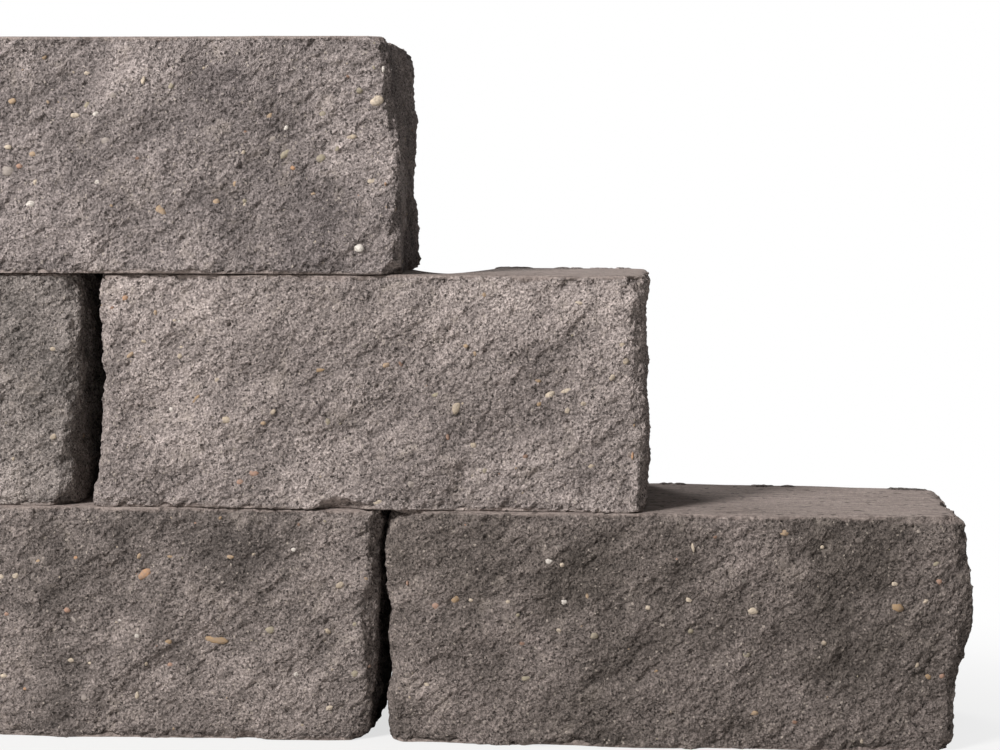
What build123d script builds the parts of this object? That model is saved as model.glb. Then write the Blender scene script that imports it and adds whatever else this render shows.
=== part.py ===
"""A stepped dry stack of six split concrete walling blocks, laid three, two and one.

Each block was cast as a longer bar between flat beds and then split on all four sides.
So its top and bottom are flat and smooth, and its front, back and ends are broken faces
of shallow facets, with a worn upper arris, a crisp lower one, cut corners and chips.

Millimetres, +Z up. X runs along the courses, the face side looks along -Y, and the origin
is on the ground at the middle of the stack.
"""

import os
from math import cos, pi, radians, sin
from random import Random

from build123d import *

# Block sizes
block_length = 288.0  # mean length between the two split ends
block_depth = 120.0  # mean depth from the split face to the split back
block_height = 120.0  # between the two cast beds
end_joint = 12.0  # mean open joint between two ends in one course

# Split faces
facet_width = 18.0  # mean width of a facet along a face
facet_height = 17.0  # mean height of a facet
facet_slide = 4.0  # how far a facet's corner slides along the face, either way
facet_relief = 1.4  # how far a facet's corner stands out or in, either way
swell_count = 4  # long swells that cross a split face, each with its own length and slope
swell_height = 2.6  # height of all swells together, either way
shortest_swell = 48.0  # least distance from crest to crest
longest_swell = 120.0  # greatest distance from crest to crest
flattest_swell = 15.0  # degrees that the least sloped swell runs from straight along a face
steepest_swell = 75.0  # degrees that the most sloped one does
corner_cut = 6.0  # distance from a corner to where its cut starts
corner_cut_play = 3.0  # how much that distance varies, either way

# Arrises, the edges between a bed and the split faces
upper_arris_set = 3.0  # how far the upper bed's edge lies behind the face
upper_arris_height = 4.0  # height over which the face rounds back to it
upper_arris_steps = 2  # facets in that round
lower_arris_set = 0.9  # how far the lower bed's edge lies behind the face
lower_arris_height = 2.2  # height over which the face comes out from it

# Every block: its course and place in it, what its length and place are off by, how far its
# face bellies out, how far its left and right ends stand out at equal steps from the bottom
# bed to the top bed, and how far its back does at equal steps from left to right.
# A chip is a hollow of a radius and a depth at a corner or an edge: side gives its signs along
# X, Y and Z, and slide is how far from the middle of an edge it is. A dip is a round trough in
# the top bed: across is its place along X, and it falls to the back from a line behind the face.
blocks = [
    dict(
        name="bottom_left_block", course=0, place=-1.0, longer=-2.0, shift=-0.4, belly=1.5,
        left_end=(-4, 0, 2, 1, -2), right_end=(-1, 0, -2, 1, 0), back=(0, 2, 1, -1, 0),
        chips=[dict(side=(-1, -1, -1), radius=22.0, depth=9.0, slide=0.0)],
    ),
    dict(
        name="bottom_middle_block", course=0, place=0.0, longer=2.0, shift=0.0, belly=2.0,
        left_end=(0, 1, 0, -1, -1), right_end=(-6, -1, -1.5, 1, 2), back=(0, -1, 1, 2, 1),
        chips=[
            dict(side=(1, -1, -1), radius=24.0, depth=11.0, slide=0.0),
            dict(side=(0, -1, -1), radius=16.0, depth=2.6, slide=78.0),
        ],
    ),
    dict(
        name="bottom_right_block", course=0, place=1.0, longer=2.0, shift=-4.0, belly=3.0,
        left_end=(0, 1, 0.5, -0.5, -0.5), right_end=(-4, -1, 5, 5, -2.5), back=(2, 5, 6, 1, -7),
        chips=[dict(side=(1, -1, -1), radius=20.0, depth=9.0, slide=0.0)],
    ),
    dict(
        name="middle_left_block", course=1, place=-0.5, longer=-2.0, shift=-2.9, belly=1.5,
        left_end=(-3, 1, 1, 0, -3), right_end=(-4, -1.5, 0, 2, 0), back=(-1, 1, 0, 2, 0),
        chips=[dict(side=(1, -1, -1), radius=26.0, depth=11.0, slide=0.0)],
    ),
    dict(
        name="middle_right_block", course=1, place=0.5, longer=-8.7, shift=-8.9, belly=1.0,
        left_end=(2.5, 0.5, -1.5, -1, 0.5), right_end=(1, 1, 0, -1, 1), back=(0, 1, -1, 0, -2),
        chips=[
            dict(side=(0, -1, -1), radius=30.0, depth=4.0, slide=-16.0),
            dict(side=(1, -1, 1), radius=24.0, depth=8.0, slide=0.0),
        ],
        dip=dict(radius=110.0, across=32.0, behind=14.0, slope=1.9),
    ),
    dict(
        name="top_block", course=2, place=0.0, longer=-2.0, shift=11.0, belly=2.0,
        left_end=(-2, 1, 2, 1, -3), right_end=(2.5, 1, -0.5, -3, -6), back=(0, 2, 1, -1, 0),
        chips=[
            dict(side=(1, -1, 1), radius=24.0, depth=6.0, slide=0.0),
            dict(side=(1, -1, -1), radius=18.0, depth=7.0, slide=0.0),
        ],
    ),
]


def between(profile, share):
    """Value at a share of the way along a row of values at equal steps."""
    place = share * (len(profile) - 1)
    step = min(int(place), len(profile) - 2)
    return profile[step] + (profile[step + 1] - profile[step]) * (place - step)


def facet_corners(side_length, facets, chance):
    """Distances along one side where facets meet, from the cut at one corner to the next cut."""
    cut = corner_cut + chance.uniform(-corner_cut_play, corner_cut_play)
    pitch = (side_length - 2 * cut) / facets
    inner = [cut + pitch * step + chance.uniform(-facet_slide, facet_slide) for step in range(1, facets)]
    return [cut, *inner, side_length - cut]


def draw_swells(chance):
    """Length, slope and start of every swell of one block."""
    return [
        (
            chance.uniform(shortest_swell, longest_swell),
            radians(chance.uniform(flattest_swell, steepest_swell)),
            chance.uniform(0, 2 * pi),
        )
        for _ in range(swell_count)
    ]


def swell(swells, run, level):
    """Height of all swells together, at a distance along a face and up it."""
    heights = [sin(2 * pi * (run * cos(slope) - level * sin(slope)) / length + start)
               for length, slope, start in swells]
    return swell_height * sum(heights) / len(heights)


def split_outline(block, level, set_back, swells, chance):
    """Points round a block at a height above its bed, anticlockwise from the front left corner."""
    half_length = (block_length + block["longer"]) / 2 - set_back
    half_depth = block_depth / 2 - set_back
    left = -half_length - between(block["left_end"], level / block_height)
    right = half_length + between(block["right_end"], level / block_height)
    corners = [
        Vector(left, -half_depth, level),
        Vector(right, -half_depth, level),
        Vector(right, half_depth + block["back"][-1], level),
        Vector(left, half_depth + block["back"][0], level),
    ]
    points = []
    whole_run = 0.0
    for number, corner in enumerate(corners):
        side = corners[(number + 1) % len(corners)] - corner
        along = side.normalized()
        outward = Vector(along.Y, -along.X)
        facets = round((block_depth if number % 2 else block_length) / facet_width)
        for run in facet_corners(side.length, facets, chance):
            share = run / side.length
            stand_out = swell(swells, whole_run + run, level) + chance.uniform(-facet_relief, facet_relief)
            if number == 0:
                stand_out += block["belly"] * sin(pi * share)
            elif number == 2:
                ends = block["back"][-1] * (1 - share) + block["back"][0] * share
                stand_out += between(block["back"], 1 - share) - ends
            points.append(corner + along * run + outward * stand_out)
        whole_run += side.length
    return points


def facet(*points):
    """One flat face through its points."""
    return Face(Wire.make_polygon(points))


def broken_bar(block):
    """The block as split, before its chips: two flat beds and rows of three-cornered facets."""
    chance = Random(block["name"])
    swells = draw_swells(chance)
    face_height = block_height - lower_arris_height - upper_arris_height
    rows = round(face_height / facet_height)
    levels = [(0.0, lower_arris_set)]
    levels += [(lower_arris_height + face_height * row / rows, 0.0) for row in range(rows + 1)]
    for step in range(1, upper_arris_steps + 1):
        angle = radians(90) * step / upper_arris_steps
        level = block_height - upper_arris_height * (1 - sin(angle))
        levels.append((level, upper_arris_set * (1 - cos(angle))))
    outlines = [split_outline(block, level, set_back, swells, chance) for level, set_back in levels]
    faces = [facet(*outlines[0]), facet(*outlines[-1])]
    for lower, upper in zip(outlines, outlines[1:]):
        for here in range(len(lower)):
            after = (here + 1) % len(lower)
            if chance.random() < 0.5:
                faces.append(facet(lower[here], lower[after], upper[after]))
                faces.append(facet(lower[here], upper[after], upper[here]))
            else:
                faces.append(facet(lower[here], lower[after], upper[here]))
                faces.append(facet(lower[after], upper[after], upper[here]))
    return Solid(Shell(faces))


def chip_centre(block, chip):
    """Centre of the ball that knocks a chip off, out past the corner or edge it is on."""
    side = Vector(*chip["side"])
    half = Vector((block_length + block["longer"]) / 2, block_depth / 2, block_height / 2)
    corner = Vector(side.X * half.X, side.Y * half.Y, side.Z * half.Z + half.Z)
    along = Vector(*(0.0 if sign else chip["slide"] for sign in chip["side"]))
    return corner + along + side.normalized() * (chip["radius"] - chip["depth"])


def split_block(block):
    """One block on its own ground, with its chips knocked off and its dip worn in."""
    rough = broken_bar(block)
    with BuildPart() as solid:
        add(rough)
        for chip in block["chips"]:
            with Locations(chip_centre(block, chip)):
                Sphere(chip["radius"], mode=Mode.SUBTRACT)
        if "dip" in block:
            dip = block["dip"]
            deepest = Location((dip["across"], dip["behind"] - block_depth / 2, block_height), (-dip["slope"], 0, 0))
            with Locations(deepest):
                Cylinder(
                    dip["radius"], block_depth, rotation=(-90, 0, 0),
                    align=(Align.CENTER, Align.MAX, Align.MIN), mode=Mode.SUBTRACT,
                )
    return solid.part


os.makedirs("parts", exist_ok=True)
module = block_length + end_joint
for block in blocks:
    centre = block["place"] * module + block["shift"]
    piece = split_block(block).moved(Location((centre, 0, block["course"] * block_height)))
    piece.label = block["name"]
    export_step(piece, f"parts/{block['name']}.step")
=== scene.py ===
"""The looks of a stepped dry stack of split concrete walling blocks.

Each block takes its solid's own shape. Its faces get the relief of broken concrete: slanting
ridges, grains, pulled-out holes, crumbled arrises and pebbles, and its beds stay flat as cast.
Metres, in the frame of the solids: +X along the courses, -Y towards the face side, +Z up.
"""

from math import pi, radians
from random import Random

import bmesh
import bpy
import numpy as np
from mathutils import Matrix, Vector
from mathutils.bvhtree import BVHTree


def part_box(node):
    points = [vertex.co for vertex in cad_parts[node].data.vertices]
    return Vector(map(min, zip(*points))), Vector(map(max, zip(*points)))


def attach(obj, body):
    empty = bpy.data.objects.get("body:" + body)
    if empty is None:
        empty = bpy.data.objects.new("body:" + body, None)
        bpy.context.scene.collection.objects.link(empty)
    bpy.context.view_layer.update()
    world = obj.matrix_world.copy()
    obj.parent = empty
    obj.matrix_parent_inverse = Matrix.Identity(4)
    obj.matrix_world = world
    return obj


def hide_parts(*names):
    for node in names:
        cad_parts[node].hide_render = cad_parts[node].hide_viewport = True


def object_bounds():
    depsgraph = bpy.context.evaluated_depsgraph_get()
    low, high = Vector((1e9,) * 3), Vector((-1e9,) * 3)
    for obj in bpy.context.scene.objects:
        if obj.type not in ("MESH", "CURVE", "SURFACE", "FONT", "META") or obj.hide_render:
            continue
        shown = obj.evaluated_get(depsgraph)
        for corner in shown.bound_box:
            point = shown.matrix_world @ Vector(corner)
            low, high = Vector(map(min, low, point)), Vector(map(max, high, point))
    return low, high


mm = 0.001

# The mesh of a block
grid_size = 0.92 * mm  # side of a square of the fine grid that the relief is cut into
worn_passes = 8  # rounds of smoothing that wear the solid's own edges before they are broken
merge_distance = 0.01 * mm  # points of a solid nearer than this are one
triangle_limit = 150000  # of one block, without its pebbles and crumbs

# Pebbles in the split faces
pebble_count = 110  # loose scatter of small pebbles in one block
pebble_to_arris = 4 * mm  # least distance of a scattered pebble from a bed
steepest_face = 0.6  # of a normal's Z, on which a scattered pebble may lie
pebble_thickness = 0.6  # as a share of the length or breadth
pebble_proud = 0.32  # share of a pebble's thickness that stands out

# Low flat crumbs on the rear rim of a bed that nothing covers
crumb_count = 75  # on one block
crumb_depth = 0.5 * mm  # greatest depth below the bed of the rim that they lie on
crumb_to_end = 14 * mm  # least distance from a block's ends
crumb_to_block = 7 * mm  # least distance from a block that lies on the bed
crumb_proud = 0.5  # share of a crumb's thickness that stands out

# The camera that the photograph was taken with, as fitted to the joints and outlines
camera_place = Vector((290.2, -1227.05, 281.85)) * mm
camera_turn = radians(4.03)
camera_tilt = radians(4.51)
camera_roll = radians(0.13)
camera_lens = 83.56
sensor_width = 36.0
photo_width = 1000
photo_height = 750

# Darkest and palest paste of every block's split faces
block_tones = {
    "bottom_left_block": ("#645c58", "#8d827d"),
    "bottom_middle_block": ("#645c58", "#8d827d"),
    "bottom_right_block": ("#5f5752", "#857a75"),
    "middle_left_block": ("#706965", "#958b86"),
    "middle_right_block": ("#837975", "#a69a95"),
    "top_block": ("#6b6361", "#9c918d"),
}

# Gravel colours
pebble_tones = {
    "white": "#d8d0c7",
    "cream": "#c2b29e",
    "sand": "#b0a08c",
    "tan": "#a68d72",
    "ochre": "#9b8060",
    "orange": "#a98263",
    "brick": "#a07d6a",
    "rust": "#7d5e4d",
    "olive": "#968c77",
    "grey": "#958b84",
    "slate": "#6d6661",
}
scattered_tones = (
    4 * ["grey"] + 3 * ["sand", "olive", "slate"] + 2 * ["cream", "tan"]
    + ["ochre", "brick", "rust", "white"]
)

# The larger pebbles that the photograph shows: its column and row, the length and breadth in
# millimetres, how steeply the pebble rises to the right in degrees, and its colour
seen_pebbles = {
    "top_block": [
        dict(column=12, row=101, long=4.2, broad=3.2, rise=0, tone="tan"),
        dict(column=44, row=57, long=3.0, broad=2.4, rise=40, tone="ochre"),
        dict(column=75, row=115, long=5.2, broad=3.2, rise=0, tone="cream"),
        dict(column=96, row=113, long=4.2, broad=3.2, rise=30, tone="white"),
        dict(column=87, row=73, long=3.4, broad=2.2, rise=0, tone="cream"),
        dict(column=143, row=80, long=4.4, broad=2.2, rise=80, tone="cream"),
        dict(column=171, row=86, long=3.6, broad=2.6, rise=60, tone="olive"),
        dict(column=87, row=105, long=3.8, broad=2.6, rise=60, tone="olive"),
        dict(column=8, row=147, long=4.0, broad=2.4, rise=0, tone="cream"),
        dict(column=33, row=154, long=4.6, broad=3.0, rise=20, tone="tan"),
        dict(column=19, row=166, long=3.4, broad=2.8, rise=0, tone="brick"),
        dict(column=106, row=141, long=5.2, broad=4.2, rise=0, tone="grey"),
        dict(column=137, row=158, long=2.4, broad=2.0, rise=0, tone="rust"),
        dict(column=8, row=171, long=6.8, broad=5.4, rise=0, tone="grey"),
        dict(column=30, row=204, long=5.2, broad=4.0, rise=10, tone="white"),
        dict(column=160, row=210, long=9.0, broad=4.2, rise=-50, tone="tan"),
        dict(column=216, row=202, long=4.0, broad=3.4, rise=0, tone="tan"),
        dict(column=234, row=185, long=4.6, broad=2.6, rise=60, tone="tan"),
        dict(column=243, row=152, long=2.4, broad=2.0, rise=0, tone="cream"),
        dict(column=245, row=132, long=2.2, broad=1.8, rise=0, tone="rust"),
        dict(column=269, row=116, long=4.0, broad=3.4, rise=20, tone="tan"),
        dict(column=272, row=139, long=5.4, broad=4.0, rise=20, tone="grey"),
        dict(column=285, row=154, long=6.6, broad=3.2, rise=40, tone="olive"),
        dict(column=286, row=128, long=3.0, broad=2.2, rise=60, tone="white"),
        dict(column=293, row=168, long=3.0, broad=2.6, rise=0, tone="orange"),
        dict(column=321, row=158, long=5.4, broad=4.4, rise=20, tone="olive"),
        dict(column=337, row=149, long=3.0, broad=2.4, rise=60, tone="olive"),
        dict(column=323, row=114, long=3.8, broad=3.0, rise=0, tone="olive"),
        dict(column=348, row=76, long=2.4, broad=2.0, rise=0, tone="rust"),
        dict(column=352, row=137, long=5.0, broad=2.4, rise=10, tone="sand"),
        dict(column=359, row=90, long=4.4, broad=3.4, rise=0, tone="olive"),
        dict(column=377, row=101, long=6.8, broad=5.2, rise=20, tone="cream"),
        dict(column=371, row=181, long=6.0, broad=3.6, rise=-15, tone="cream"),
        dict(column=386, row=184, long=3.0, broad=2.0, rise=-15, tone="orange"),
        dict(column=384, row=69, long=4.2, broad=2.6, rise=60, tone="white"),
        dict(column=359, row=248, long=5.2, broad=4.4, rise=0, tone="white"),
    ],
    "middle_left_block": [
        dict(column=53, row=349, long=3.2, broad=2.4, rise=0, tone="sand"),
        dict(column=53, row=437, long=4.0, broad=3.0, rise=30, tone="sand"),
    ],
    "middle_right_block": [
        dict(column=125, row=298, long=3.2, broad=2.8, rise=40, tone="orange"),
        dict(column=155, row=313, long=3.2, broad=2.0, rise=80, tone="tan"),
        dict(column=112, row=308, long=2.2, broad=1.8, rise=0, tone="rust"),
        dict(column=144, row=341, long=4.6, broad=2.0, rise=0, tone="sand"),
        dict(column=130, row=355, long=4.6, broad=2.0, rise=40, tone="tan"),
        dict(column=180, row=356, long=3.4, broad=2.6, rise=40, tone="sand"),
        dict(column=196, row=399, long=5.4, broad=1.6, rise=50, tone="ochre"),
        dict(column=226, row=420, long=5.2, broad=3.8, rise=0, tone="sand"),
        dict(column=320, row=370, long=6.4, broad=2.0, rise=8, tone="ochre"),
        dict(column=273, row=412, long=3.4, broad=2.4, rise=40, tone="sand"),
        dict(column=263, row=423, long=3.0, broad=2.4, rise=0, tone="tan"),
        dict(column=254, row=473, long=5.4, broad=4.0, rise=0, tone="brick"),
        dict(column=240, row=482, long=4.0, broad=3.2, rise=0, tone="brick"),
        dict(column=386, row=365, long=3.8, broad=2.6, rise=20, tone="tan"),
        dict(column=436, row=395, long=4.6, broad=2.2, rise=10, tone="olive"),
        dict(column=456, row=408, long=7.4, broad=4.0, rise=70, tone="sand"),
        dict(column=447, row=436, long=4.0, broad=2.2, rise=100, tone="brick"),
        dict(column=473, row=446, long=4.6, broad=3.8, rise=0, tone="sand"),
        dict(column=466, row=346, long=2.8, broad=2.2, rise=0, tone="tan"),
        dict(column=475, row=353, long=3.2, broad=1.8, rise=90, tone="tan"),
        dict(column=378, row=502, long=5.2, broad=3.0, rise=5, tone="cream"),
        dict(column=525, row=457, long=3.2, broad=2.6, rise=20, tone="rust"),
        dict(column=539, row=404, long=3.0, broad=2.4, rise=40, tone="ochre"),
        dict(column=538, row=381, long=3.2, broad=1.8, rise=0, tone="ochre"),
        dict(column=550, row=395, long=5.4, broad=3.6, rise=40, tone="cream"),
        dict(column=566, row=391, long=5.6, broad=2.4, rise=20, tone="cream"),
        dict(column=579, row=303, long=4.4, broad=1.8, rise=0, tone="cream"),
        dict(column=591, row=466, long=4.4, broad=3.2, rise=0, tone="sand"),
        dict(column=625, row=361, long=4.0, broad=3.6, rise=0, tone="sand"),
        dict(column=622, row=345, long=3.4, broad=2.6, rise=0, tone="sand"),
        dict(column=612, row=377, long=4.4, broad=2.8, rise=60, tone="cream"),
        dict(column=633, row=455, long=5.4, broad=2.2, rise=45, tone="orange"),
    ],
    "bottom_middle_block": [
        dict(column=15, row=576, long=4.4, broad=3.0, rise=20, tone="cream"),
        dict(column=1, row=577, long=3.4, broad=3.0, rise=0, tone="cream"),
        dict(column=38, row=561, long=2.4, broad=2.0, rise=0, tone="tan"),
        dict(column=76, row=558, long=2.6, broad=2.2, rise=0, tone="orange"),
        dict(column=7, row=614, long=2.8, broad=2.4, rise=0, tone="brick"),
        dict(column=67, row=610, long=3.8, broad=3.0, rise=0, tone="brick"),
        dict(column=74, row=620, long=4.6, broad=2.2, rise=-60, tone="grey"),
        dict(column=70, row=660, long=4.4, broad=2.8, rise=-10, tone="cream"),
        dict(column=90, row=663, long=3.4, broad=1.8, rise=-25, tone="cream"),
        dict(column=4, row=676, long=4.4, broad=2.4, rise=0, tone="cream"),
        dict(column=25, row=689, long=2.2, broad=1.8, rise=0, tone="orange"),
        dict(column=139, row=556, long=3.4, broad=2.4, rise=60, tone="tan"),
        dict(column=145, row=574, long=8.4, broad=4.6, rise=35, tone="orange"),
        dict(column=170, row=557, long=3.8, broad=1.8, rise=0, tone="ochre"),
        dict(column=230, row=557, long=4.0, broad=2.4, rise=0, tone="tan"),
        dict(column=168, row=642, long=4.4, broad=2.6, rise=0, tone="ochre"),
        dict(column=216, row=640, long=14.0, broad=4.2, rise=-6, tone="ochre"),
        dict(column=137, row=636, long=2.8, broad=2.4, rise=0, tone="white"),
        dict(column=170, row=665, long=3.2, broad=2.4, rise=0, tone="brick"),
        dict(column=137, row=695, long=4.2, broad=2.2, rise=80, tone="cream"),
        dict(column=84, row=698, long=3.8, broad=3.2, rise=0, tone="grey"),
        dict(column=270, row=630, long=5.6, broad=4.0, rise=0, tone="olive"),
        dict(column=340, row=585, long=5.0, broad=3.4, rise=20, tone="sand"),
    ],
    "bottom_right_block": [
        dict(column=407, row=583, long=2.8, broad=2.4, rise=0, tone="brick"),
        dict(column=436, row=606, long=4.0, broad=3.6, rise=0, tone="brick"),
        dict(column=455, row=599, long=5.6, broad=4.2, rise=50, tone="ochre"),
        dict(column=471, row=600, long=2.4, broad=2.0, rise=0, tone="cream"),
        dict(column=508, row=602, long=2.6, broad=2.2, rise=0, tone="cream"),
        dict(column=517, row=615, long=2.8, broad=2.2, rise=0, tone="olive"),
        dict(column=522, row=644, long=3.2, broad=2.4, rise=20, tone="rust"),
        dict(column=549, row=561, long=3.8, broad=3.4, rise=0, tone="white"),
        dict(column=562, row=565, long=2.8, broad=2.6, rise=0, tone="cream"),
        dict(column=564, row=602, long=3.4, broad=3.2, rise=0, tone="white"),
        dict(column=559, row=630, long=3.0, broad=2.4, rise=0, tone="cream"),
        dict(column=594, row=636, long=4.2, broad=3.4, rise=20, tone="olive"),
        dict(column=526, row=678, long=5.4, broad=3.2, rise=10, tone="olive"),
        dict(column=427, row=685, long=3.2, broad=2.2, rise=-20, tone="cream"),
        dict(column=648, row=608, long=3.0, broad=2.4, rise=0, tone="cream"),
        dict(column=690, row=631, long=3.8, broad=3.0, rise=0, tone="olive"),
        dict(column=693, row=548, long=4.6, broad=1.8, rise=100, tone="cream"),
        dict(column=715, row=537, long=2.4, broad=2.0, rise=0, tone="rust"),
        dict(column=746, row=655, long=4.6, broad=3.2, rise=0, tone="olive"),
        dict(column=753, row=611, long=5.4, broad=4.0, rise=0, tone="cream"),
        dict(column=754, row=713, long=4.4, broad=3.0, rise=0, tone="tan"),
        dict(column=784, row=533, long=5.0, broad=3.4, rise=0, tone="tan"),
        dict(column=795, row=722, long=3.0, broad=2.4, rise=0, tone="rust"),
        dict(column=822, row=547, long=3.0, broad=2.6, rise=0, tone="cream"),
        dict(column=824, row=643, long=3.2, broad=2.6, rise=0, tone="sand"),
        dict(column=895, row=584, long=3.8, broad=2.4, rise=10, tone="cream"),
        dict(column=897, row=608, long=7.0, broad=4.4, rise=0, tone="ochre"),
        dict(column=939, row=582, long=3.6, broad=3.0, rise=60, tone="brick"),
        dict(column=936, row=564, long=4.2, broad=2.4, rise=20, tone="olive"),
        dict(column=928, row=677, long=3.6, broad=2.8, rise=0, tone="ochre"),
        dict(column=942, row=676, long=3.0, broad=2.6, rise=0, tone="brick"),
        dict(column=917, row=665, long=3.0, broad=2.2, rise=60, tone="sand"),
    ],
}

# Front corners that stand out square in the photograph, further than on the solids: the side of
# the corner, where -1 is the left, and how far it is filled out
square_corners = {"top_block": (1, 7 * mm), "middle_right_block": (-1, 3.5 * mm)}
corner_reach = 4  # how far the filling runs along the faces, as a multiple of that
corner_fall = 1.5  # how fast it fades, as a power
corner_forward = 0.6  # how far it goes towards the front, as a share of how far sideways

room_light = 0.15  # how bright the surround is on the object, where 1 is white

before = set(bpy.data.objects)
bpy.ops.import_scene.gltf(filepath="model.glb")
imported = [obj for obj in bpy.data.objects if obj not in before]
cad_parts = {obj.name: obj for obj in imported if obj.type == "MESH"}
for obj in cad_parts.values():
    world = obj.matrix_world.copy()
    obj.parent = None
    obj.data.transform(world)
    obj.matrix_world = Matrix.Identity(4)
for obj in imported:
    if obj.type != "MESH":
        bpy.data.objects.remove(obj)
cad_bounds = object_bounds()


def colour(hex_value):
    """Linear colour of an sRGB hex value."""
    channels = [int(hex_value[start:start + 2], 16) / 255 for start in (1, 3, 5)]
    linear = [c / 12.92 if c <= 0.04045 else ((c + 0.055) / 1.055) ** 2.4 for c in channels]
    return (*linear, 1.0)


def add_node(tree, kind, inputs=None, **settings):
    """Adds a node to a tree with its settings, and links or sets each input by name or number."""
    node = tree.nodes.new(kind)
    for name, value in settings.items():
        setattr(node, name, value)
    for socket, value in (inputs or {}).items():
        if isinstance(value, bpy.types.NodeSocket):
            tree.links.new(value, node.inputs[socket])
        else:
            node.inputs[socket].default_value = value
    return node


def empty_material(name):
    """A new material and its node tree, without nodes."""
    material = bpy.data.materials.new(name)
    material.use_nodes = True
    material.node_tree.nodes.clear()
    return material, material.node_tree


def split_relief():
    """Geometry nodes that break a smooth block's faces like split concrete, and leave its beds.

    They keep two values on every point for the material: bed is 1 on a cast bed and 0 on a
    split face, and height is how far the point was moved, in millimetres.
    """
    tree = bpy.data.node_groups.new("split_relief", "GeometryNodeTree")
    tree.interface.new_socket("Geometry", in_out="INPUT", socket_type="NodeSocketGeometry")
    tree.interface.new_socket("Start", in_out="INPUT", socket_type="NodeSocketVector")
    tree.interface.new_socket("Lower bed", in_out="INPUT", socket_type="NodeSocketFloat")
    tree.interface.new_socket("Upper bed", in_out="INPUT", socket_type="NodeSocketFloat")
    tree.interface.new_socket("Geometry", in_out="OUTPUT", socket_type="NodeSocketGeometry")
    group_in = add_node(tree, "NodeGroupInput")
    place = add_node(tree, "GeometryNodeInputPosition")
    normal = add_node(tree, "GeometryNodeInputNormal")

    # The pattern starts elsewhere on every block, and breaks run up to the right on the face
    moved = add_node(
        tree, "ShaderNodeVectorMath",
        {0: place.outputs[0], 1: group_in.outputs["Start"]}, operation="ADD",
    )
    sloped = add_node(
        tree, "ShaderNodeVectorRotate",
        {"Vector": moved.outputs[0], "Axis": (0.0, 1.0, 0.0), "Angle": radians(34)},
    )
    drawn_out = add_node(
        tree, "ShaderNodeVectorMath", {0: sloped.outputs[0], 1: (0.5, 1.0, 1.0)}, operation="MULTIPLY",
    )

    # A share from 0 on the split faces to 1 on the beds, by how level the surface is
    fray = add_node(tree, "ShaderNodeTexNoise", {"Vector": moved.outputs[0], "Scale": 1 / (4 * mm)})
    slopes = add_node(tree, "ShaderNodeSeparateXYZ", {0: normal.outputs[0]})
    level = add_node(tree, "ShaderNodeMath", {0: slopes.outputs["Z"]}, operation="ABSOLUTE")
    frayed = add_node(
        tree, "ShaderNodeMath", {0: fray.outputs["Fac"], 1: 0.3, 2: level.outputs[0]},
        operation="MULTIPLY_ADD",
    )
    bed = add_node(
        tree, "ShaderNodeMapRange",
        {"Value": frayed.outputs[0], "From Min": 0.86, "From Max": 1.04},
        interpolation_type="SMOOTHSTEP",
    )
    dusty = add_node(
        tree, "ShaderNodeMapRange",
        {"Value": frayed.outputs[0], "From Min": 0.5, "From Max": 1.1},
        interpolation_type="SMOOTHSTEP",
    )

    # Crumbled arrises: along both beds the face falls back in places
    heights = add_node(tree, "ShaderNodeSeparateXYZ", {0: place.outputs[0]})
    above = add_node(
        tree, "ShaderNodeMath", {0: heights.outputs["Z"], 1: group_in.outputs["Lower bed"]},
        operation="SUBTRACT",
    )
    below = add_node(
        tree, "ShaderNodeMath", {0: group_in.outputs["Upper bed"], 1: heights.outputs["Z"]},
        operation="SUBTRACT",
    )
    nearest = add_node(
        tree, "ShaderNodeMath", {0: above.outputs[0], 1: below.outputs[0]}, operation="MINIMUM",
    )
    rim = add_node(
        tree, "ShaderNodeMapRange",
        {"Value": nearest.outputs[0], "From Min": 1 * mm, "From Max": 7 * mm,
         "To Min": 1.0, "To Max": 0.0},
        interpolation_type="SMOOTHSTEP",
    )
    bites = add_node(
        tree, "ShaderNodeTexNoise",
        {"Vector": moved.outputs[0], "Scale": 1 / (10 * mm), "Detail": 4.0, "Roughness": 0.6},
    )
    bite_share = add_node(
        tree, "ShaderNodeMapRange", {"Value": bites.outputs["Fac"], "From Min": 0.48, "From Max": 0.68},
    )
    crumbled = add_node(
        tree, "ShaderNodeMath", {0: rim.outputs["Result"], 1: bite_share.outputs["Result"]},
        operation="MULTIPLY",
    )

    # Slanting ridges, small terraces, grains that stand out, holes where grains came away, and sand
    ridges = add_node(
        tree, "ShaderNodeTexNoise",
        {"Vector": drawn_out.outputs[0], "Scale": 1 / (17 * mm), "Detail": 6.0, "Roughness": 0.66},
    )
    terraces = add_node(
        tree, "ShaderNodeTexNoise",
        {"Vector": drawn_out.outputs[0], "Scale": 1 / (6 * mm),
         "Detail": 3.0, "Roughness": 0.7, "Distortion": 0.4},
    )
    stones = add_node(
        tree, "ShaderNodeTexVoronoi",
        {"Vector": moved.outputs[0], "Scale": 1 / (3.8 * mm), "Smoothness": 0.5},
        feature="SMOOTH_F1",
    )
    stone_domes = add_node(
        tree, "ShaderNodeMapRange",
        {"Value": stones.outputs["Distance"], "From Min": 0.05, "From Max": 0.5,
         "To Min": 1.0, "To Max": 0.0},
    )
    holes = add_node(tree, "ShaderNodeTexVoronoi", {"Vector": moved.outputs[0], "Scale": 1 / (7 * mm)})
    hole_hollows = add_node(
        tree, "ShaderNodeMapRange",
        {"Value": holes.outputs["Distance"], "From Min": 0.08, "From Max": 0.26,
         "To Min": 1.0, "To Max": 0.0},
        interpolation_type="SMOOTHSTEP",
    )
    sand = add_node(
        tree, "ShaderNodeTexNoise",
        {"Vector": moved.outputs[0], "Scale": 1 / (2.3 * mm), "Detail": 2.0, "Roughness": 0.7},
    )

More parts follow.
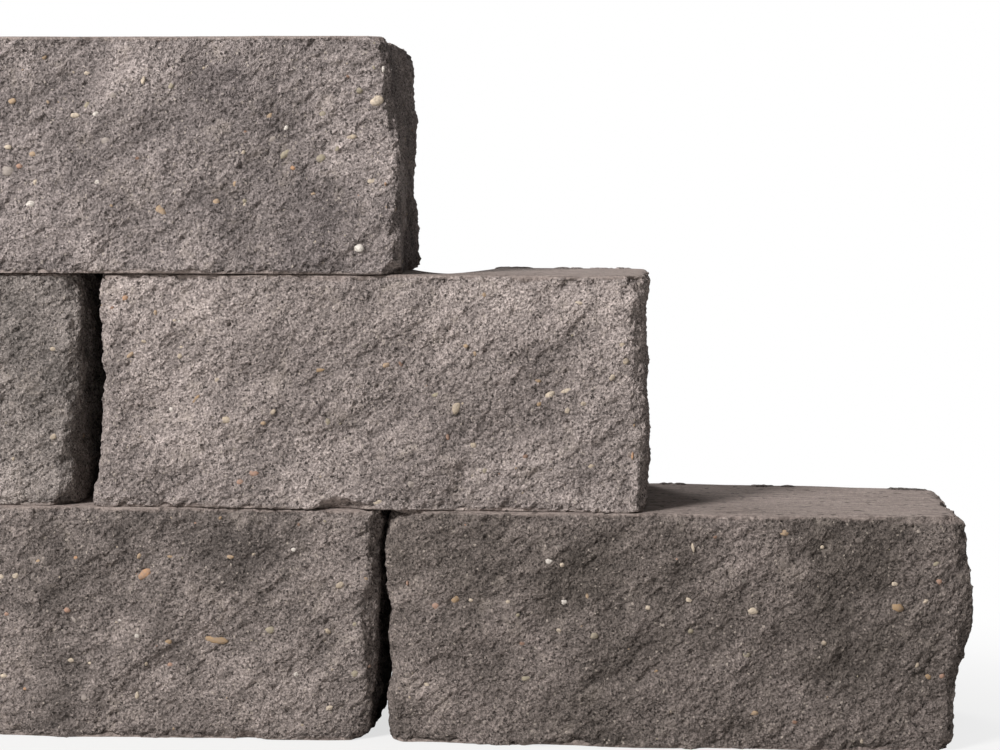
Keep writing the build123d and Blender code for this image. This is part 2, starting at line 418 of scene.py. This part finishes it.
    # Heights in metres, one layer on the other
    height = None
    for layer, middle, depth in [
        (ridges.outputs["Fac"], 0.5, 8.5 * mm),
        (terraces.outputs["Fac"], 0.5, 3.6 * mm),
        (stone_domes.outputs["Result"], 0.4, 0.4 * mm),
        (hole_hollows.outputs["Result"], 0.1, -0.9 * mm),
        (sand.outputs["Fac"], 0.5, 1.7 * mm),
        (crumbled.outputs[0], 0.0, -2.6 * mm),
    ]:
        about_zero = add_node(tree, "ShaderNodeMath", {0: layer, 1: middle}, operation="SUBTRACT")
        under = height.outputs[0] if height else 0.0
        height = add_node(
            tree, "ShaderNodeMath", {0: about_zero.outputs[0], 1: depth, 2: under},
            operation="MULTIPLY_ADD",
        )
    on_face = add_node(tree, "ShaderNodeMath", {0: 1.0, 1: bed.outputs["Result"]}, operation="SUBTRACT")
    kept = add_node(
        tree, "ShaderNodeMath", {0: height.outputs[0], 1: on_face.outputs[0]}, operation="MULTIPLY",
    )
    offset = add_node(
        tree, "ShaderNodeVectorMath", {0: normal.outputs[0], "Scale": kept.outputs[0]}, operation="SCALE",
    )
    in_mm = add_node(tree, "ShaderNodeMath", {0: kept.outputs[0], 1: 1 / mm}, operation="MULTIPLY")

    keep_bed = add_node(
        tree, "GeometryNodeStoreNamedAttribute",
        {"Geometry": group_in.outputs["Geometry"], "Name": "bed", "Value": dusty.outputs["Result"]},
    )
    keep_height = add_node(
        tree, "GeometryNodeStoreNamedAttribute",
        {"Geometry": keep_bed.outputs[0], "Name": "height", "Value": in_mm.outputs[0]},
    )
    broken = add_node(
        tree, "GeometryNodeSetPosition",
        {"Geometry": keep_height.outputs[0], "Offset": offset.outputs[0]},
    )
    add_node(tree, "NodeGroupOutput", {"Geometry": broken.outputs[0]})
    return tree


def finished_mesh(piece):
    """A piece's mesh with its modifiers worked in."""
    graph = bpy.context.evaluated_depsgraph_get()
    return bpy.data.meshes.new_from_object(piece.evaluated_get(graph))


def read_values(items, name, width):
    """A value of every point or face of a mesh, as rows of that width."""
    values = np.empty(width * len(items), np.float32)
    items.foreach_get(name, values)
    return values.reshape(-1, width)


def move_points(mesh, places):
    """Puts a mesh's points at new places."""
    mesh.vertices.foreach_set("co", places.ravel())
    mesh.update()


def keep_inside(mesh, low, high):
    """Moves a mesh's points into a box."""
    move_points(mesh, np.clip(read_values(mesh.vertices, "co", 3), low, high))


def fill_corner(mesh, low, high, side, reach):
    """Pushes the front upright corner at one side of a block outwards, less far away from it."""
    places = read_values(mesh.vertices, "co", 3)
    corner = np.array([high[0] if side > 0 else low[0], low[1]])
    away = np.linalg.norm(places[:, :2] - corner, axis=1)
    share = np.clip(1 - away / (corner_reach * reach), 0, 1) ** corner_fall
    places[:, 0] += side * reach * share
    places[:, 1] -= corner_forward * reach * share
    move_points(mesh, places)


def broken_block(name, relief, chance):
    """A copy of a solid with the split relief on its faces, at the solid's own place."""
    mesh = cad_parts[name].data.copy()
    solid = bmesh.new()
    solid.from_mesh(mesh)
    bmesh.ops.remove_doubles(solid, verts=solid.verts, dist=merge_distance)
    solid.to_mesh(mesh)
    solid.free()
    mesh.materials.clear()
    block = bpy.data.objects.new(f"split_{name}", mesh)
    bpy.context.scene.collection.objects.link(block)
    low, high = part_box(name)

    grid = block.modifiers.new("grid", "REMESH")
    grid.mode = "VOXEL"
    grid.voxel_size = grid_size
    worn = block.modifiers.new("worn", "SMOOTH")
    worn.iterations = worn_passes
    broken = block.modifiers.new("broken", "NODES")
    broken.node_group = relief
    start = [chance.uniform(-1, 1) for _ in range(3)]
    values = {"Start": start, "Lower bed": low[2], "Upper bed": high[2]}
    for item in relief.interface.items_tree:
        if item.name in values:
            broken[item.identifier] = values[item.name]
    block.data = finished_mesh(block)
    block.modifiers.clear()
    thinned = block.modifiers.new("thinned", "DECIMATE")
    thinned.ratio = min(1.0, triangle_limit / (2 * len(block.data.polygons)))
    block.data = finished_mesh(block)
    block.modifiers.clear()
    if name in square_corners:
        fill_corner(block.data, low, high, *square_corners[name])
    keep_inside(block.data, low, high)
    return block


def split_concrete(name, dark, light):
    """Split face of dark through-coloured concrete: matt cement paste that broke round its sand.

    The eye sees grey full of sharp grains and pores, with paler crushed spots and darker clouds,
    and on the beds a smoother brown-grey that the mould wiped along the length. Painted shade
    darkens the hollows of the relief, the low spots of the fine sand and the pores, and painted
    highlight lightens the raised parts.
    """
    material, tree = empty_material(name)
    place = add_node(tree, "ShaderNodeTexCoord").outputs["Object"]
    bed = add_node(tree, "ShaderNodeAttribute", attribute_name="bed").outputs["Fac"]
    height = add_node(tree, "ShaderNodeAttribute", attribute_name="height").outputs["Fac"]

    # Clouds of darker and paler paste
    clouds = add_node(
        tree, "ShaderNodeTexNoise",
        {"Vector": place, "Scale": 1 / (70 * mm), "Detail": 5.0, "Roughness": 0.6},
    )
    cloud_share = add_node(
        tree, "ShaderNodeMapRange", {"Value": clouds.outputs["Fac"], "From Min": 0.38, "From Max": 0.62},
    )
    paste = add_node(
        tree, "ShaderNodeMix", {0: cloud_share.outputs["Result"], 6: colour(dark), 7: colour(light)},
        data_type="RGBA",
    )

    # Mottles, grit and sand grains change the tone. The grit's low spots and the relief's hollows get
    # painted shade, and the raised parts get painted highlight.
    mottles = add_node(
        tree, "ShaderNodeTexNoise",
        {"Vector": place, "Scale": 1 / (9 * mm), "Detail": 4.0, "Roughness": 0.65},
    )
    grit = add_node(
        tree, "ShaderNodeTexNoise",
        {"Vector": place, "Scale": 1 / (1.2 * mm), "Detail": 2.0, "Roughness": 0.85},
    )
    grains = add_node(tree, "ShaderNodeTexVoronoi", {"Vector": place, "Scale": 1 / (1.0 * mm)})
    grain_tones = add_node(tree, "ShaderNodeSeparateColor", {0: grains.outputs["Color"]})
    tone_and_shade = 1.0
    for value, low, high, darkest, brightest in [
        (mottles.outputs["Fac"], 0.3, 0.7, 0.84, 1.16),
        # grit: partly sand tone, partly painted shade, darker where the same noise makes the fine bump
        # low
        (grit.outputs["Fac"], 0.3, 0.7, 0.3, 1.7),
        (grain_tones.outputs["Red"], 0.0, 1.0, 0.74, 1.26),
        # painted shade in the hollows of the relief and painted highlight on its raised parts, by each
        # point's height
        (height, -2.6, 2.2, 0.6, 1.25),
    ]:
        share = add_node(
            tree, "ShaderNodeMapRange",
            {"Value": value, "From Min": low, "From Max": high, "To Min": darkest, "To Max": brightest},
        )
        tone_and_shade = add_node(
            tree, "ShaderNodeMath", {0: share.outputs["Result"], 1: tone_and_shade}, operation="MULTIPLY",
        ).outputs[0]
    face = add_node(
        tree, "ShaderNodeVectorMath", {0: paste.outputs[2], "Scale": tone_and_shade}, operation="SCALE",
    )

    # Crushed pale smears, single pale grains, and pores painted dark as the shade in their holes
    smears = add_node(
        tree, "ShaderNodeTexNoise",
        {"Vector": place, "Scale": 1 / (17 * mm), "Detail": 5.0, "Roughness": 0.75},
    )
    face = face.outputs[0]
    for value, low, high, most, tone in [
        (smears.outputs["Fac"], 0.56, 0.76, 0.55, "#b4a79d"),
        (grain_tones.outputs["Green"], 0.985, 0.99, 0.5, "#c2b5a9"),
        # painted shade in the pores
        (grain_tones.outputs["Blue"], 0.94, 0.95, 0.75, "#2b2725"),
    ]:
        share = add_node(
            tree, "ShaderNodeMapRange",
            {"Value": value, "From Min": low, "From Max": high, "To Min": 0.0, "To Max": most},
        )
        face = add_node(
            tree, "ShaderNodeMix", {0: share.outputs["Result"], 6: face, 7: colour(tone)},
            data_type="RGBA",
        ).outputs[2]

    # The cast bed: wiped streaks along the block, fine sand, and painted shade in its pores
    drawn = add_node(
        tree, "ShaderNodeVectorMath", {0: place, 1: (0.12, 1.0, 1.0)}, operation="MULTIPLY",
    )
    streaks = add_node(
        tree, "ShaderNodeTexNoise",
        {"Vector": drawn.outputs[0], "Scale": 1 / (1.8 * mm), "Detail": 3.0, "Roughness": 0.7},
    )
    streak_share = add_node(
        tree, "ShaderNodeMapRange", {"Value": streaks.outputs["Fac"], "From Min": 0.3, "From Max": 0.7},
    )
    bed_tone = add_node(
        tree, "ShaderNodeMix",
        {0: streak_share.outputs["Result"], 6: colour("#746863"), 7: colour("#9c8f88")}, data_type="RGBA",
    )
    wiped_sand = add_node(
        tree, "ShaderNodeTexNoise",
        {"Vector": place, "Scale": 1 / (2.4 * mm), "Detail": 3.0, "Roughness": 0.8},
    )
    bed_sand = add_node(
        tree, "ShaderNodeMapRange",
        {"Value": wiped_sand.outputs["Fac"], "From Min": 0.3, "From Max": 0.7,
         "To Min": 0.68, "To Max": 1.32},
    )
    bed_face = add_node(
        tree, "ShaderNodeVectorMath", {0: bed_tone.outputs[2], "Scale": bed_sand.outputs["Result"]},
        operation="SCALE",
    )
    # Painted shade: dark spots where the bed has pores
    pores = add_node(tree, "ShaderNodeTexVoronoi", {"Vector": place, "Scale": 1 / (2.6 * mm)})
    pore_shade_tones = add_node(tree, "ShaderNodeSeparateColor", {0: pores.outputs["Color"]})
    pore_shade_share = add_node(
        tree, "ShaderNodeMapRange",
        {"Value": pore_shade_tones.outputs["Blue"], "From Min": 0.945, "From Max": 0.965, "To Max": 0.65},
    )
    pore_shaded_bed = add_node(
        tree, "ShaderNodeMix",
        {0: pore_shade_share.outputs["Result"], 6: bed_face.outputs[0], 7: colour("#453e3a")},
        data_type="RGBA",
    )
    surface = add_node(
        tree, "ShaderNodeMix", {0: bed, 6: face, 7: pore_shaded_bed.outputs[2]}, data_type="RGBA",
    )

    # Sand too fine for the mesh
    grit_depth = add_node(
        tree, "ShaderNodeMapRange", {"Value": bed, "To Min": 1.9 * mm, "To Max": 0.7 * mm},
    )
    grit_height = add_node(
        tree, "ShaderNodeMath", {0: grit.outputs["Fac"], 1: grit_depth.outputs["Result"]},
        operation="MULTIPLY",
    )
    bump = add_node(tree, "ShaderNodeBump", {"Height": grit_height.outputs[0], "Distance": 1.0})
    shader = add_node(
        tree, "ShaderNodeBsdfPrincipled",
        {"Base Color": surface.outputs[2], "Normal": bump.outputs[0], "Roughness": 0.95,
         "Specular IOR Level": 0.12},
    )
    add_node(tree, "ShaderNodeOutputMaterial", {0: shader.outputs[0]})
    return material


def river_pebble():
    """Pit gravel broken or left whole in the split face: fine-grained, a little smoother than the
    paste, so the eye sees clean spots of cream, tan, brick, olive or grey."""
    material, tree = empty_material("river_pebble")
    place = add_node(tree, "ShaderNodeTexCoord").outputs["Object"]
    kind = add_node(tree, "ShaderNodeAttribute", attribute_name="kind").outputs["Fac"]
    tones = add_node(tree, "ShaderNodeValToRGB", {0: kind})
    tones.color_ramp.interpolation = "CONSTANT"
    while len(tones.color_ramp.elements) > 1:
        tones.color_ramp.elements.remove(tones.color_ramp.elements[-1])
    for number, tone in enumerate(pebble_tones.values()):
        element = (
            tones.color_ramp.elements[0] if number == 0
            else tones.color_ramp.elements.new(number / len(pebble_tones))
        )
        element.color = colour(tone)
    dust = add_node(
        tree, "ShaderNodeTexNoise",
        {"Vector": place, "Scale": 1 / (1.6 * mm), "Detail": 4.0, "Roughness": 0.75},
    )
    dust_share = add_node(
        tree, "ShaderNodeMapRange",
        {"Value": dust.outputs["Fac"], "From Min": 0.38, "From Max": 0.66, "To Max": 0.7},
    )
    dusted = add_node(
        tree, "ShaderNodeMix",
        {0: dust_share.outputs["Result"], 6: tones.outputs["Color"], 7: colour("#7d736c")},
        data_type="RGBA",
    )
    bump = add_node(tree, "ShaderNodeBump", {"Height": dust.outputs["Fac"], "Distance": 0.4 * mm})
    shader = add_node(
        tree, "ShaderNodeBsdfPrincipled",
        {"Base Color": dusted.outputs[2], "Normal": bump.outputs[0], "Roughness": 0.8,
         "Specular IOR Level": 0.25},
    )
    add_node(tree, "ShaderNodeOutputMaterial", {0: shader.outputs[0]})
    return material


def add_grain(grains, place, normal, rise, size, proud, fineness, chance):
    """Adds one angular pebble or crumb to a bmesh, part sunk into the surface that it lies in.

    Its size is its length, breadth and thickness, and proud is the share of the thickness that
    stands out. Returns its points.
    """
    along = Vector((1.0, 0.0, 0.0)) if abs(normal.x) < 0.7 else Vector((0.0, 1.0, 0.0))
    level = (along - normal * along.dot(normal)).normalized()
    turned = Matrix.Rotation(rise, 3, normal) @ level
    axes = Matrix((turned, normal.cross(turned), normal)).transposed().to_4x4()
    shape = Matrix.Diagonal((size[0] / 2, size[1] / 2, size[2] / 2, 1.0))
    middle = place + normal * size[2] * (proud - 0.5)
    made = bmesh.ops.create_icosphere(
        grains, subdivisions=fineness, radius=1.0, matrix=Matrix.Translation(middle) @ axes @ shape,
    )
    for vertex in made["verts"]:
        vertex.co += (vertex.co - middle) * chance.uniform(-0.15, 0.15)
    for face in {face for vertex in made["verts"] for face in vertex.link_faces}:
        face.smooth = fineness > 1
    return made["verts"]


def outward(place, name):
    """The direction that a block's split face looks in at a place."""
    low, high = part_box(name)
    from_middle = place - (Vector(low) + Vector(high)) / 2
    half = (Vector(high) - Vector(low)) / 2
    if abs(from_middle.y) / half.y > abs(from_middle.x) / half.x:
        return Vector((0.0, from_middle.y, 0.0)).normalized()
    return Vector((from_middle.x, 0.0, 0.0)).normalized()


def scattered_pebbles(name, centres, normals, areas, chance):
    """Small pebbles all over a block's split faces, away from the arrises."""
    low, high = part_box(name)
    inside = (centres[:, 2] > low[2] + pebble_to_arris) & (centres[:, 2] < high[2] - pebble_to_arris)
    total = np.cumsum(np.where(inside & (np.abs(normals[:, 2]) < steepest_face), areas, 0.0))
    pebbles = []
    for _ in range(pebble_count):
        number = int(np.searchsorted(total, chance.random() * total[-1]))
        place = Vector(centres[number].tolist())
        length = (1.3 + 3.2 * chance.random() ** 3) * mm
        size = (length, length * chance.uniform(0.55, 0.9), length * pebble_thickness)
        rise = radians(chance.uniform(0, 180))
        pebbles.append((place, rise, size, chance.choice(scattered_tones), 1))
    return pebbles


def photographed_pebbles(name, mesh):
    """The pebbles that the photograph shows, each where the line of sight meets the block."""
    surface = bmesh.new()
    surface.from_mesh(mesh)
    found = BVHTree.FromBMesh(surface)
    surface.free()
    pebbles = []
    for seen in seen_pebbles.get(name, []):
        sight = camera_matrix.to_3x3() @ Vector((
            (seen["column"] - photo_width / 2) / photo_width * sensor_width / camera_lens,
            (photo_height / 2 - seen["row"]) / photo_width * sensor_width / camera_lens,
            -1.0,
        ))
        place = found.ray_cast(camera_place, sight.normalized())[0]
        if place:
            size = (seen["long"] * mm, seen["broad"] * mm, seen["broad"] * pebble_thickness * mm)
            pebbles.append((place, radians(seen["rise"]), size, seen["tone"], 2))
    return pebbles


def open_rim(name, centres, normals):
    """Numbers of the faces on the rear rim of a bed, where it carries blocks and is open."""
    low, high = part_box(name)
    above = [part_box(other) for other in block_tones if abs(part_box(other)[0][2] - high[2]) < mm]
    rim = (centres[:, 2] > high[2] - crumb_depth) & (normals[:, 2] > 0.2) & (normals[:, 2] < 0.95)
    rim &= centres[:, 1] > (low[1] + high[1]) / 2
    rim &= (centres[:, 0] > low[0] + crumb_to_end) & (centres[:, 0] < high[0] - crumb_to_end)
    for over_low, over_high in above:
        left_of_it = centres[:, 0] < over_low[0] - crumb_to_block
        rim &= left_of_it | (centres[:, 0] > over_high[0] + crumb_to_block)
    return np.flatnonzero(rim) if above else []


def set_grains(block, name, chance):
    """Sets pebbles in a block's split faces, and crumbs on the rim of a bed that nothing covers."""
    mesh = block.data
    centres = read_values(mesh.polygons, "center", 3)
    normals = read_values(mesh.polygons, "normal", 3)
    areas = read_values(mesh.polygons, "area", 1).ravel()
    grains = bmesh.new()
    kinds = grains.verts.layers.float.new("kind")
    tone_names = list(pebble_tones)

    pebbles = scattered_pebbles(name, centres, normals, areas, chance)
    for place, rise, size, tone, fineness in pebbles + photographed_pebbles(name, mesh):
        points = add_grain(
            grains, place, outward(place, name), rise, size, pebble_proud, fineness, chance,
        )
        kind = (tone_names.index(tone) + 0.5) / len(tone_names)
        for point in points:
            point[kinds] = kind
            for face in point.link_faces:
                face.material_index = 1

    rim = open_rim(name, centres, normals)
    for _ in range(crumb_count if len(rim) else 0):
        place = Vector(centres[rim[chance.randrange(len(rim))]].tolist())
        length = (2.0 + 8.5 * chance.random() ** 2) * mm
        place.y -= length / 2
        size = (length, length * chance.uniform(0.6, 0.95), 1.0 * mm + length * 0.14)
        rise = chance.uniform(0, pi)
        add_grain(grains, place, Vector((0.0, 0.0, 1.0)), rise, size, crumb_proud, 2, chance)

    grains.from_mesh(mesh)
    grains.to_mesh(mesh)
    grains.free()
    keep_inside(mesh, *cad_bounds)


def pale_floor():
    """A wide matt floor that reads as white to the camera and keeps a soft shadow by the object."""
    sheet = bmesh.new()
    bmesh.ops.create_grid(sheet, x_segments=1, y_segments=1, size=6.0)
    mesh = bpy.data.meshes.new("floor")
    sheet.to_mesh(mesh)
    sheet.free()
    floor = bpy.data.objects.new("floor", mesh)
    bpy.context.scene.collection.objects.link(floor)
    material, tree = empty_material("white_paper")
    place = add_node(tree, "ShaderNodeTexCoord").outputs["Object"]
    far = add_node(tree, "ShaderNodeVectorMath", {0: place, 1: (0.55, 1.0, 1.0)}, operation="MULTIPLY")
    distance = add_node(tree, "ShaderNodeVectorMath", {0: far.outputs[0]}, operation="LENGTH")
    white_share = add_node(
        tree, "ShaderNodeMapRange",
        {"Value": distance.outputs["Value"], "From Min": 0.1, "From Max": 0.45,
         "To Min": 0.7, "To Max": 1.0},
        interpolation_type="SMOOTHSTEP",
    )
    paper = add_node(tree, "ShaderNodeBsdfDiffuse", {"Color": colour("#cfcdca")})
    white = add_node(tree, "ShaderNodeEmission", {"Color": (1.0, 1.0, 1.0, 1.0), "Strength": 1.0})
    path = add_node(tree, "ShaderNodeLightPath")
    seen = add_node(
        tree, "ShaderNodeMath", {0: path.outputs["Is Camera Ray"], 1: white_share.outputs["Result"]},
        operation="MULTIPLY",
    )
    both = add_node(
        tree, "ShaderNodeMixShader", {0: seen.outputs[0], 1: paper.outputs[0], 2: white.outputs[0]},
    )
    add_node(tree, "ShaderNodeOutputMaterial", {0: both.outputs[0]})
    mesh.materials.append(material)


def surround():
    """A world that is white to the camera and gives the object a dim even light."""
    world = bpy.data.worlds.new("surround")
    bpy.context.scene.world = world
    world.use_nodes = True
    tree = world.node_tree
    tree.nodes.clear()
    dim = add_node(tree, "ShaderNodeBackground", {"Color": (1.0, 1.0, 1.0, 1.0), "Strength": room_light})
    white = add_node(tree, "ShaderNodeBackground", {"Color": (1.0, 1.0, 1.0, 1.0), "Strength": 1.0})
    path = add_node(tree, "ShaderNodeLightPath")
    seen = path.outputs["Is Camera Ray"]
    for other in ("Is Glossy Ray", "Is Transmission Ray"):
        seen = add_node(
            tree, "ShaderNodeMath", {0: seen, 1: path.outputs[other]}, operation="MAXIMUM",
        ).outputs[0]
    both = add_node(tree, "ShaderNodeMixShader", {0: seen, 1: dim.outputs[0], 2: white.outputs[0]})
    add_node(tree, "ShaderNodeOutputWorld", {0: both.outputs[0]})


def soft_lamp(name, place, size, power):
    """A square soft box that looks at the middle of the stack."""
    lamp = bpy.data.lights.new(name, "AREA")
    lamp.shape = "SQUARE"
    lamp.size = size
    lamp.energy = power
    box = bpy.data.objects.new(name, lamp)
    bpy.context.scene.collection.objects.link(box)
    middle = Vector((0.0, 0.0, 0.18))
    turn = (middle - place).to_track_quat("-Z", "Y").to_matrix().to_4x4()
    box.matrix_world = Matrix.Translation(place) @ turn


def photograph_camera():
    """The camera at the photograph's place and angle."""
    lens = bpy.data.cameras.new("photograph")
    lens.lens = camera_lens
    lens.sensor_width = sensor_width
    camera = bpy.data.objects.new("photograph", lens)
    bpy.context.scene.collection.objects.link(camera)
    camera.matrix_world = camera_matrix
    bpy.context.scene.camera = camera


camera_matrix = (
    Matrix.Translation(camera_place)
    @ Matrix.Rotation(camera_turn, 4, "Z")
    @ Matrix.Rotation(pi / 2 - camera_tilt, 4, "X")
    @ Matrix.Rotation(camera_roll, 4, "Z")
)
photograph_camera()
surround()
pale_floor()
soft_lamp("key_light", Vector((-1.2, -1.7, 1.7)), 0.6, 103.0)
soft_lamp("back_light", Vector((-1.2, 1.9, 1.3)), 1.2, 50.0)

relief = split_relief()
pebble = river_pebble()
for name, (dark, light) in block_tones.items():
    chance = Random(name)
    block = broken_block(name, relief, chance)
    block.data.materials.append(split_concrete(f"split_concrete_{name}", dark, light))
    block.data.materials.append(pebble)
    set_grains(block, name, chance)
    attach(block, "root")
    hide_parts(name)

scene = bpy.context.scene
scene.view_settings.view_transform = "Standard"
